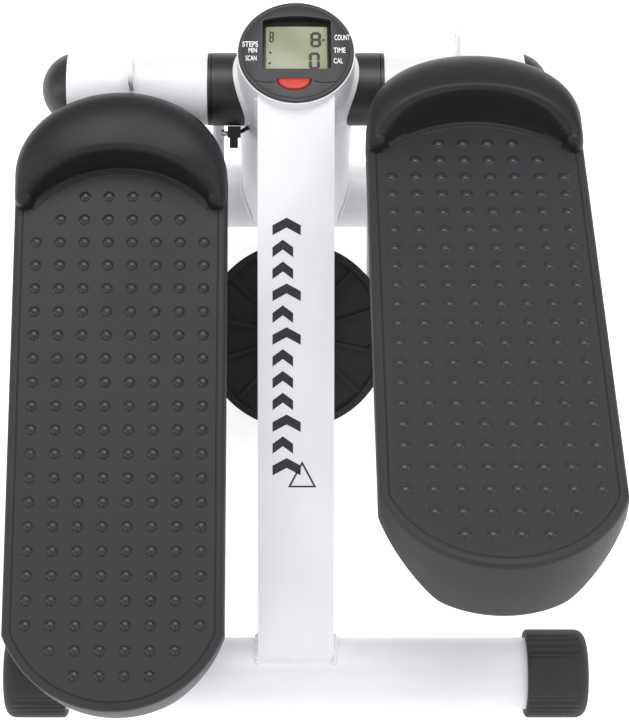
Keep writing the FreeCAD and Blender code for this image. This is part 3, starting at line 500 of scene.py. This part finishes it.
def pedal_frame(side):
    """Where a pedal's own axes are: its origin on the axle, Y along the tread to the front."""
    offset = Vector((SIDE[side] * PEDAL_X * MM, 0, 0))
    return Matrix.Translation(pivot + offset) @ Matrix.Rotation(
        math.radians(SLOPES[side]), 4, "X")


def pedal_outline(inset):
    """The pedal's plan, moved in by inset, anticlockwise from the front right."""
    half, heel = HALF - inset, HEEL_R - inset
    drop = math.sqrt(heel ** 2 - half ** 2)
    turn = math.degrees(math.atan2(drop, half))
    toe = arc((0, TOE_Y), (half, TOE_REACH - inset), 0, 180, 72)
    back = arc((0, HEEL_Y), (heel, heel), 180 + turn, 360 - turn, 56)
    side = [TOE_Y + (HEEL_Y - drop - TOE_Y) * i / 24 for i in range(1, 24)]
    return toe + [(-half, y) for y in side] + back + [(half, y) for y in reversed(side)]


def underside(x):
    """Height of the shell's lower face: flat in the middle, sloping up to the sides."""
    beyond = abs(x) - KEEL_HALF
    ramp = (beyond + math.sqrt(beyond ** 2 + 12)) / 2
    return KEEL + ramp * (CORNER - KEEL) / (HALF - KEEL_HALF)


print("outline has", len(pedal_outline(0)), "points")

# %% Pedal shells
def pedal_shell(side):
    """The blown shell: underside, skirt, rounded rim, groove and tread, then the channel."""
    under = [(44, 0), (38, 0), (32, 0), (27, 0), (20, 0), (14, 0), (9, 0), (5, 0.1), (2.6, 0.5),
             (1.2, 1.2), (0.35, 2.4), (0, 4.2)]
    rings = [[(x, y, underside(x) + lift) for x, y in pedal_outline(inset)]
             for inset, lift in under]
    rings += [[(x, y, z + (TREAD - 3 - z) * 0.5) for x, y, z in rings[-1]]]
    rim = [(0, -3.0), (0.15, -1.9), (0.6, -0.9), (1.3, -0.25), (2.2, 0), (4.3, 0), (4.5, -0.2),
           (4.7, -0.45), (5.0, -0.45), (5.2, -0.2), (5.4, 0), (9, 0), (16, 0), (26, 0), (38, 0)]
    rings += [[(x, y, TREAD + lift) for x, y in pedal_outline(inset)] for inset, lift in rim]
    where = pedal_frame(side)
    shell = to_object(f"pedal_shell_{side}", stack(rings), tread_plastic, f"pedal_{side}",
                      where)
    channel = [(-19.2, -40), (19.2, -40), (19.2, 2), (-19.2, 2)]
    room = arc((0, 0), (23, 23), 0, 360, 96)[:-1]
    carve(shell, [
        cutter("channel", stack([[(x, y, z) for x, z in channel] for y in (-292, 20)]), where),
        cutter("sleeve_room", stack([[(x, y, z) for y, z in room] for x in (-70, 70)]), where)])
    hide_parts(f"pedal_{side}")
    return shell


for side in SIDE:
    print(pedal_shell(side).name, "made")

# %% [markdown]
# ## Toe hoops
#
# A raised hoop goes round each toe, so that the foot can't slide forward. It rises smoothly from
# the tread's edge, rolls over in a broad lip, and drops in a nearly upright wall to the tread.
# Round the toe its height falls away, and each end is a rounded finger. It is made by moving one
# cross-section along the toe: a squarish quarter round for the back of the hoop, an arc for the
# lip, and a leaning line for the wall. The wall's foot is a plain arc, and behind it a fine bead
# marks the edge of the studded insert.

# %% Toe hoops
WALL_R, WALL_Y = 69.0, -124.8                   # the inner wall's foot is an arc
WALL_TURN = math.radians(42.4)                  # how far that arc goes each way
FINGER = 0.16                                   # the share of each side taken by its rounded end


def hoop_section(share):
    """One cross-section of the hoop; share runs from -1, one finger's tip, to 1, the other's."""
    side = math.copysign(1, share)
    along = min(abs(share) / (1 - FINGER), 1.0)
    past = min(max(abs(share) - (1 - FINGER), 0.0) / FINGER, 1.0)
    turn = min(along / 0.88, 1.0) * math.pi / 2
    straight = max(along - 0.88, 0.0) / 0.12 * 12.0
    foot = Vector((side * 57.6 * math.sin(turn), TOE_Y + 47.6 * math.cos(turn) - straight, 0))
    lean = side * along * WALL_TURN
    inner = Vector((WALL_R * math.sin(lean), WALL_Y + WALL_R * math.cos(lean), 0))
    shrink = 0.1 + 0.9 * math.sqrt(1 - past ** 2)
    middle = (foot + inner) / 2
    foot, inner = (middle + (end - middle) * shrink - Vector((0, 6.0 * past, 0))
                   for end in (foot, inner))
    height = 23.5 * (1 - 0.58 * along ** 4) * (0.25 + 0.75 * shrink)
    across = inner - foot
    width = across.length
    across.normalize()
    lip = min(3.8 + 1.4 * along, 0.4 * width, 0.45 * height)
    crown = width - 0.11 * height - lip             # where the lip begins
    points = [(0, -1.5)]
    for i in range(19):
        t = math.radians(90 * i / 18)
        points.append((crown * (1 - math.cos(t) ** 0.75), height * math.sin(t) ** 0.75))
    for i in range(1, 9):
        t = math.radians(82 * i / 8)
        points.append((crown + lip * math.sin(t), height - lip * (1 - math.cos(t))))
    last = points[-1]
    for i in range(1, 5):
        t = i / 5
        points.append((last[0] + (width - last[0]) * t, last[1] * (1 - t)))
    points += [(width + 0.3, 0.5), (width + 1.0, 0.02), (width + 1.2, -1.5)]
    return [foot + across * a + Vector((0, 0, TREAD + z)) for a, z in points]


def toe_hoop(side):
    sections = [hoop_section(-1 + 2 * i / 220) for i in range(221)]
    return to_object(f"toe_hoop_{side}", stack(sections), hoop_plastic, f"pedal_{side}",
                     pedal_frame(side))


def insert_edge(side):
    """The fine bead where the studded insert stops behind the hoop."""
    rings = []
    for i in range(97):
        t = math.radians(-47 + 94 * i / 96)
        out = Vector((math.sin(t), math.cos(t), 0))
        rings.append([Vector((0, WALL_Y, TREAD)) + out * (65.3 + 0.4 * math.cos(a))
                      + Vector((0, 0, 0.4 * math.sin(a)))
                      for a in (math.radians(b) for b in range(0, 360, 45))])
    return to_object(f"insert_edge_{side}", stack(rings), tread_plastic, f"pedal_{side}",
                     pedal_frame(side))


for side in SIDE:
    print(toe_hoop(side).name, "has", len(hoop_section(0)), "points in its section;",
          insert_edge(side).name)

# %% [markdown]
# ## Tread studs
#
# The grip is a field of low round studs on a square grid 13 mm apart, eight across, with the
# corners left out where the toe and heel are round. Each stud is a shallow cap 6 mm across with a
# small flare where it meets the tread, which is what holds the dark ring round it.

# %% Tread studs
PITCH, FIRST_ROW = 13.0, 72.5
COUNTS = [4, 6] + [8] * 17 + [6, 4]
STUD = [(3.25, -0.3), (3.2, 0.0), (2.95, 0.12), (2.75, 0.42), (2.35, 0.82), (1.75, 1.14),
        (1.0, 1.34), (0.35, 1.42)]


def tread_studs(side):
    bm = bmesh.new()
    for row, count in enumerate(COUNTS):
        y = -(FIRST_ROW + PITCH * row)
        for column in range(count):
            x = (column - (count - 1) / 2) * PITCH
            stack([[(a, b, TREAD + z) for a, b in arc((x, y), (r, r), 0, 345, 23)]
                   for r, z in STUD], bm)
    return to_object(f"tread_studs_{side}", bm, stud_plastic, f"pedal_{side}",
                     pedal_frame(side))


for side in SIDE:
    print(tread_studs(side).name, sum(COUNTS), "studs")

# %% [markdown]
# ## Foot caps
#
# Each stabiliser ends in a rubber cap that keeps it from sliding and from marking the floor. The
# cap is pushed over the tube, so its mouth is a soft lip, and its far edge is well rounded. Four
# bands of lengthwise grooves give the fingers a hold while it is pressed on. The grooves fade out
# before the rounded end, and the cap is worn flat where it stands.

# %% Foot caps
TUBE_Z, CAP_R = 23.5, 24.5
GROOVE_BANDS = (24, 114, -66, -156)             # degrees from the top, towards the front


def cap_radius(angle, depth):
    """The cap's radius at an angle, in degrees, with grooves that deep."""
    dip = 0.0
    for band in GROOVE_BANDS:
        away = (angle - band + 180) % 360 - 180
        if abs(away) < 19:
            dip = max(dip, (0.5 + 0.5 * math.cos(math.radians(away * 360 / 9.5))) ** 0.7
                      * min(1, (19 - abs(away)) / 3))
    return CAP_R - depth * dip


def foot_cap(name, place_x, place_y, side):
    """A cap whose mouth is towards the middle; side is 1 on the right and -1 on the left."""
    end = [(34 - 6 + 6 * math.sin(math.radians(t)), -6 + 6 * math.cos(math.radians(t)), 0)
           for t in (15, 30, 45, 60, 75, 90)]
    outside = [(0.0, -3.4, 0.2), (0.1, -1.2, 0.5), (0.5, -0.5, 0.8), (1.2, -0.1, 1.1),
               (3, 0, 1.1), (10, 0, 1.1), (18, 0, 1.1), (24, 0, 0.9), (27, 0, 0.5), (28, 0, 0.3)]
    rings = []
    for along, less, depth in [(22, -4.45, 0), (0.5, -4.45, 0)] + outside + end + \
            [(34, -12, 0), (33.6, -13, 0), (33.6, -20, 0)]:
        ring = []
        for i in range(240):
            angle = i * 1.5
            radius = cap_radius(angle, depth) + less
            y = place_y + radius * math.sin(math.radians(angle))
            z = TUBE_Z + radius * math.cos(math.radians(angle))
            ring.append((side * (place_x + along), y, max(z, 0.0) if less > -4 else z))
        rings.append(ring)
    cap = to_object(f"grooved_{name}", stack(rings), foot_rubber, "frame")
    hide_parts(name)
    return cap


for end in ("front", "rear"):
    for side in SIDE:
        y = sum(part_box(f"{end}_stabiliser")[i].y for i in (0, 1)) / 2 / MM
        print(foot_cap(f"foot_cap_{end}_{side}", 128.0, y, SIDE[side]).name, "at y", round(y, 1))

# %% [markdown]
# ## Weld beads
#
# The tubes are joined by MIG welding, which leaves a lumpy bead in each corner, a ripple every
# couple of millimetres where each drop froze. Paint goes over it. A bead is a thin tube along the
# corner whose radius rises and falls, and a little uneven, since no hand keeps time exactly.

# %% Weld beads
def weld_bead(name, path, radius):
    """A rippled tube along a path of points, in millimetres."""
    points, travelled = [Vector(p) for p in path], 0.0
    rings = []
    for i, point in enumerate(points):
        ahead = points[min(i + 1, len(points) - 1)] - points[max(i - 1, 0)]
        if i:
            travelled += (point - points[i - 1]).length
        side = ahead.orthogonal().normalized() if i == 0 else \
            (last_side - ahead.normalized() * last_side.dot(ahead.normalized())).normalized()
        last_side, up = side, ahead.normalized().cross(side)
        swell = radius * (1 + 0.22 * math.sin(travelled * 2.6) + 0.1 * math.sin(travelled * 1.1))
        if i in (0, len(points) - 1):
            swell *= 0.4
        rings.append([point + (side * math.cos(t) + up * math.sin(t)) * swell
                      for t in (math.radians(a) for a in range(0, 360, 30))])
    return to_object(name, stack(rings), powder_coat, "frame")


TUBE_R, POST_R, BEAM_HALF, BEAM_LENGTH, BEAM_TOP = 20.0, 32.5, 21.0, 317.9, 43.5
PROUD = 0.4                                     # how far a bead's middle stands off its corner
BEAM_SLOPE = math.radians(27)
BEAM_FRAME = Matrix.Translation(pivot / MM) @ Matrix.Rotation(BEAM_SLOPE, 4, "X")
rear_y = sum(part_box("rear_stabiliser")[i].y for i in (0, 1)) / 2 / MM
post_y = pivot.y / MM
for side, x in (("left", -BEAM_HALF - PROUD), ("right", BEAM_HALF + PROUD)):
    turns = [math.radians(30 + i * 2) for i in range(-26, 32)]
    path = [(x, rear_y + (TUBE_R + PROUD) * math.cos(t), TUBE_Z + (TUBE_R + PROUD) * math.sin(t))
            for t in turns]
    print(weld_bead(f"weld_rear_{side}", path, 1.5).name, len(path), "points")
    meet = post_y - math.sqrt((POST_R + PROUD / 2) ** 2 - x ** 2)
    path = [(x, meet, z) for z in range(139, 182)]
    weld_bead(f"weld_post_{side}", path, 1.3)
top_meet = BEAM_FRAME @ Vector((0, -BEAM_LENGTH, BEAM_TOP + 0.1))
weld_bead("weld_rear_top", [(x, top_meet.y, top_meet.z) for x in range(-21, 22)], 0.8)
seam = []
for i in range(121):
    t = math.radians(i * 3)
    x, y = (POST_R + PROUD) * math.cos(t), (POST_R + PROUD) * math.sin(t)
    if abs(y) < TUBE_R - 0.5:
        seam.append((x, post_y + y, TUBE_Z + math.sqrt(20.3 ** 2 - y ** 2)))
for side, sign in (("left", -1), ("right", 1)):
    path = sorted((p for p in seam if p[0] * sign > 0), key=lambda p: p[1])
    print(weld_bead(f"weld_post_foot_{side}", path, 1.5).name, len(path), "points")

# %% [markdown]
# ## Stripe decal
#
# The sloping tube carries a cut-vinyl decal. It is an abstract mark here: a climbing column of
# chevrons, like arrow heads on a stair, with an outlined triangle at its foot. It is made as flat
# shapes a tenth of a millimetre above the paint, which is what vinyl is.

# %% Stripe decal
VINYL = (BEAM_TOP + 0.02, BEAM_TOP + 0.12)      # the film's underside and its face


def chevron(bm, left, right, at, thick, rise):
    """A flat arrow head across the tube, pointing up it."""
    middle = (left + right) / 2
    corners = [(left, at), (middle, at + rise), (right, at), (right, at - thick),
               (middle, at + rise - thick), (left, at - thick)]
    low = [bm.verts.new((x, y, VINYL[0])) for x, y in corners]
    high = [bm.verts.new((x, y, VINYL[1])) for x, y in corners]
    for i in range(6):
        j = (i + 1) % 6
        bm.faces.new((low[i], low[j], high[j], high[i]))
    for a, b, c, d in ((0, 1, 4, 5), (1, 2, 3, 4)):
        bm.faces.new([high[k] for k in (a, b, c, d)])
        bm.faces.new([low[k] for k in (a, b, c, d)])


bm = bmesh.new()
for i in range(12):
    wide = 2.6 if i in (0, 3, 5, 9, 11) else -1.6
    chevron(bm, -12.9, wide, -77 - i * 12.0, 5.4, 4.2)
outline = [(3.4, -206.5), (11.2, -221), (-4.4, -221)]
inside = [(3.4, -208.6), (9.6, -220.1), (-2.8, -220.1)]
loops = [[bm.verts.new((x, y, z)) for x, y in corners]
         for corners, z in ((outline, VINYL[0]), (outline, VINYL[1]), (inside, VINYL[1]),
                            (inside, VINYL[0]))]
for k in range(4):
    one, two = loops[k], loops[(k + 1) % 4]
    for i in range(3):
        j = (i + 1) % 3
        bm.faces.new((one[i], one[j], two[j], two[i]))
decal = to_object("stripe_decal", bm, cut_vinyl, "frame",
                  Matrix.Translation(pivot) @ Matrix.Rotation(BEAM_SLOPE, 4, "X"))
print(decal.name, len(decal.data.polygons), "faces")

# %% [markdown]
# ## Display housing
#
# The counter sits in the top of the post like a lid. Its face is one ABS moulding: a rounded rim,
# an arched window, a smile-shaped hole for the button, and a fine groove on each side of it. The
# body is turned as rings, from the ceiling of its hollow, out over the wall, and back in over the
# face, and the openings are cut through it afterwards.

# %% Display housing
FACE = Matrix.Translation((0, pivot.y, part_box("display_housing")[1].z))


def arched(left, right, low, high, rise, corner=1.6):
    """A window outline: square below with rounded corners, arched above."""
    half = (right - left) / 2
    radius = (half ** 2 + rise ** 2) / (2 * rise)
    spread = math.degrees(math.asin(half / radius))
    top = arc(((left + right) / 2, high + rise - radius), (radius, radius),
              90 - spread * 0.94, 90 + spread * 0.94, 28)
    lower = arc((left + corner, low + corner), (corner, corner), 180, 270, 6)
    lower += arc((right - corner, low + corner), (corner, corner), 270, 360, 6)
    upper = [(right, high - 1.0), (right - 0.15, high - 0.3)] + top
    return lower + upper + [(left + 0.15, high - 0.3), (left, high - 1.0)]


def smile(width, grow=0.0):
    """The button's outline: a gently bowed upper edge and a full lower one."""
    half = width / 2
    steps = [math.cos(math.radians(a)) for a in range(0, 181, 9)]
    lower = [(-half * c - (grow if c > 0.99 else -grow if c < -0.99 else 0),
              1.9 - grow - 5.5 * (1 - abs(c) ** 2.3) ** 0.62) for c in steps]
    upper = [(half * c, 3.0 + grow + 0.3 * (1 - c * c)) for c in steps[1:-1]]
    return lower + upper


def prism(outline, low, high, offset=(0, 0)):
    """Rings for a straight-sided slab of an outline."""
    return [[(x + offset[0], y + offset[1], z) for x, y in outline] for z in (low, high)]


def turned(profile, count=144):
    """Rings for a profile of (radius, height) points turned round the Z axis."""
    return [[(r * math.cos(t), r * math.sin(t), z)
             for t in (math.radians(360 * i / count) for i in range(count))] for r, z in profile]


BUTTON_AT = (-1.0, -20.4)
profile = [(2, -2.5), (27.5, -2.5), (27.5, -15.8), (29.9, -15.8), (29.9, -1.38), (31.8, -1.38),
           (31.8, -0.9), (31.74, -0.6), (31.55, -0.32), (31.3, -0.12), (31.0, 0), (29.6, 0),
           (29.3, -0.18), (29.0, 0), (16, 0), (2, 0)]
housing = to_object("display_bezel", stack(turned(profile)), textured_abs, "frame",
                    FACE)
groove = []
for left, right, tilt in ((-23.0, -11.4, -0.10), (9.6, 22.6, -0.02)):
    line = [(left + (right - left) * i / 12, -17.6 + tilt * (left + (right - left) * i / 12 + 23)
             - 1.2 * math.sin(math.pi * i / 12)) for i in range(13)]
    outline = line + [(x, y - 0.55) for x, y in reversed(line)]
    groove.append(cutter("groove", stack(prism(outline, -0.45, 2)), FACE))
carve(housing, [cutter("window", stack(prism(arched(-18.4, 19.2, -10.9, 20.2, 2.6), -9, 3)), FACE),
                cutter("button_hole", stack(prism(smile(18.4, 0.25), -9, 3, BUTTON_AT)), FACE)]
      + groove)
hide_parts("display_housing")
print(housing.name, len(housing.data.polygons), "faces after cutting")

# %% [markdown]
# ## Window, liquid-crystal pane and button
#
# Behind the window a black mask frames the pane, so that its edges are crisp. The pane's digits
# are dark segments: two counters on the right, one above the other, and small marks on the left
# that show which one runs. The button is a soft silicone cap with a crowned top, and it moves.

# %% Window, pane and button
def slab(name, outline, low, high, finish, body):
    """A thin plate with a small chamfer round its upper edge."""
    middle_x = sum(x for x, _ in outline) / len(outline)
    middle_y = sum(y for _, y in outline) / len(outline)
    rings = prism(outline, low, high - 0.12)
    inner = [(middle_x + (x - middle_x) * 0.985, middle_y + (y - middle_y) * 0.985, high)
             for x, y in outline]
    return to_object(name, stack(rings + [inner]), finish, body, FACE)


lens = slab("window_lens", arched(-18.2, 19.0, -10.7, 20.0, 2.5), -1.9, -0.9, clear_acrylic,
            "frame")
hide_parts("display_lens")
mask = slab("window_mask", arched(-20, 20.8, -12.4, 21.4, 2.4), -4.8, -4.0, lcd_ink,
            "frame")
pane = slab("liquid_crystal_pane", arched(-16.6, 17.2, -9.4, 17.9, 0.3, 0.8), -4.4, -3.4,
            lcd_film, "frame")
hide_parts("lcd_panel")
cap = prism(smile(17.6), -3.2, -0.1, BUTTON_AT)
for share, lift in ((0.985, 0.25), (0.95, 0.5), (0.88, 0.68), (0.74, 0.76), (0.5, 0.8)):
    cap.append([(x * share + BUTTON_AT[0], (y + 0.6) * share - 0.6 + BUTTON_AT[1], lift)
                for x, y in smile(17.6)])
button = to_object("button_cap", stack(cap), red_silicone, "button", FACE)
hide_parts("button")
print(lens.name, mask.name, pane.name, button.name)

# %% Digits
SEGMENTS = {"a": ((0, 1), (1, 1)), "b": ((1, 1), (1, 0.5)), "c": ((1, 0.5), (1, 0)),
            "d": ((0, 0), (1, 0)), "e": ((0, 0.5), (0, 0)), "f": ((0, 1), (0, 0.5)),
            "g": ((0, 0.5), (1, 0.5))}


def digit(bm, lit, left, low, width, height, thick):
    """Lit segments of one digit as flat bars on the pane."""
    for key in lit:
        (ax, ay), (bx, by) = SEGMENTS[key]
        start = Vector((left + ax * width, low + ay * height, -3.37))
        end = Vector((left + bx * width, low + by * height, -3.37))
        along = (end - start).normalized()
        across = Vector((-along.y, along.x, 0)) * thick / 2
        start, end = start + along * thick * 0.4, end - along * thick * 0.4
        nose = along * thick * 0.45
        ring = [start - nose, start + across, end + across, end + nose, end - across,
                start - across]
        bm.faces.new([bm.verts.new(p) for p in ring])


bm = bmesh.new()
digit(bm, "abcdefg", 8.7, 5.5, 4.4, 8.2, 1.7)
digit(bm, "abcdef", 7.9, -8.5, 4.4, 9.2, 1.7)
digit(bm, "abcdefg", -14.3, 8.3, 1.7, 6.2, 0.9)
for x, y in ((-14.1, 1.3), (-14.5, -5.4), (15.2, 9.4)):
    bm.faces.new([bm.verts.new((x + a, y + b, -3.37)) for a, b in
                  ((-0.7, -0.7), (0.7, -0.7), (0.7, 0.7), (-0.7, 0.7))])
digits = to_object("liquid_crystal_digits", bm, lcd_ink, "frame", FACE)
print(digits.name, len(digits.data.polygons), "segments")

# %% [markdown]
# ## Printed labels
#
# Small white words on each side of the window say what the counters show. They are plain
# function words, pad-printed on the plastic. Each is a text object turned into a mesh, then
# stretched to the size of its printed word.

# %% Printed labels
LABELS = (("STEPS", -29.4, -20.9, 3.0, 6.5), ("MIN", -26.0, -21.4, -0.7, 2.4),
          ("SCAN", -27.6, -21.6, -5.8, -2.6), ("COUNT", 21.2, 29.6, 7.2, 10.7),
          ("TIME", 20.6, 27.2, -0.9, 2.5), ("CAL", 20.6, 25.6, -7.6, -4.3))


def label(word, left, right, low, high):
    letters = bpy.data.curves.new(f"text_{word}", "FONT")
    letters.body = word
    letters.offset = 0.012                      # a bold face
    text = bpy.data.objects.new(f"text_{word}", letters)
    bpy.context.scene.collection.objects.link(text)
    shown = text.evaluated_get(bpy.context.evaluated_depsgraph_get())
    mesh = bpy.data.meshes.new_from_object(shown)
    bpy.data.objects.remove(text)
    xs, ys = [v.co.x for v in mesh.vertices], [v.co.y for v in mesh.vertices]
    wide, tall = max(xs) - min(xs), max(ys) - min(ys)
    for v in mesh.vertices:
        v.co = Vector((left + (v.co.x - min(xs)) * (right - left) / wide,
                       low + (v.co.y - min(ys)) * (high - low) / tall, 0.03)) * MM
    mesh.materials.clear()
    mesh.materials.append(printed_white)
    piece = bpy.data.objects.new(f"label_{word.lower()}", mesh)
    piece.matrix_world = FACE
    bpy.context.scene.collection.objects.link(piece)
    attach(piece, "frame")
    return piece


print("labels:", [label(*row).name for row in LABELS])

# %% [markdown]
# ## Floor
#
# The ground is a plain white sheet, big enough that its edge is never seen. It has a very faint
# mottle, as paper has, so that it isn't one flat value.

# %% Floor
paper, tree, shader, at_mm = new_finish("studio_paper")
mottle = add(tree, "ShaderNodeTexNoise", {"Vector": at_mm, "Scale": 1 / 300, "Detail": 2.0})
white = add(tree, "ShaderNodeValToRGB", {"Fac": mottle.outputs["Fac"]},
            stops=[(0.3, "#FBFBFC"), (0.7, "#FDFDFE")])
feed(tree, shader, {"Base Color": white.outputs["Color"], "Roughness": 0.9,
                    "Emission Color": to_linear("#FFFFFF"), "Emission Strength": 0.5})
bm = bmesh.new()
bmesh.ops.create_grid(bm, x_segments=8, y_segments=8, size=4.0)
sheet_mesh = bpy.data.meshes.new("studio_floor")
bm.to_mesh(sheet_mesh)
bm.free()
sheet_mesh.materials.append(paper)
floor = bpy.data.objects.new("studio_floor", sheet_mesh)
floor.location.z = -0.0005
bpy.context.scene.collection.objects.link(floor)
print("floor at", floor.location.z / MM, "mm")
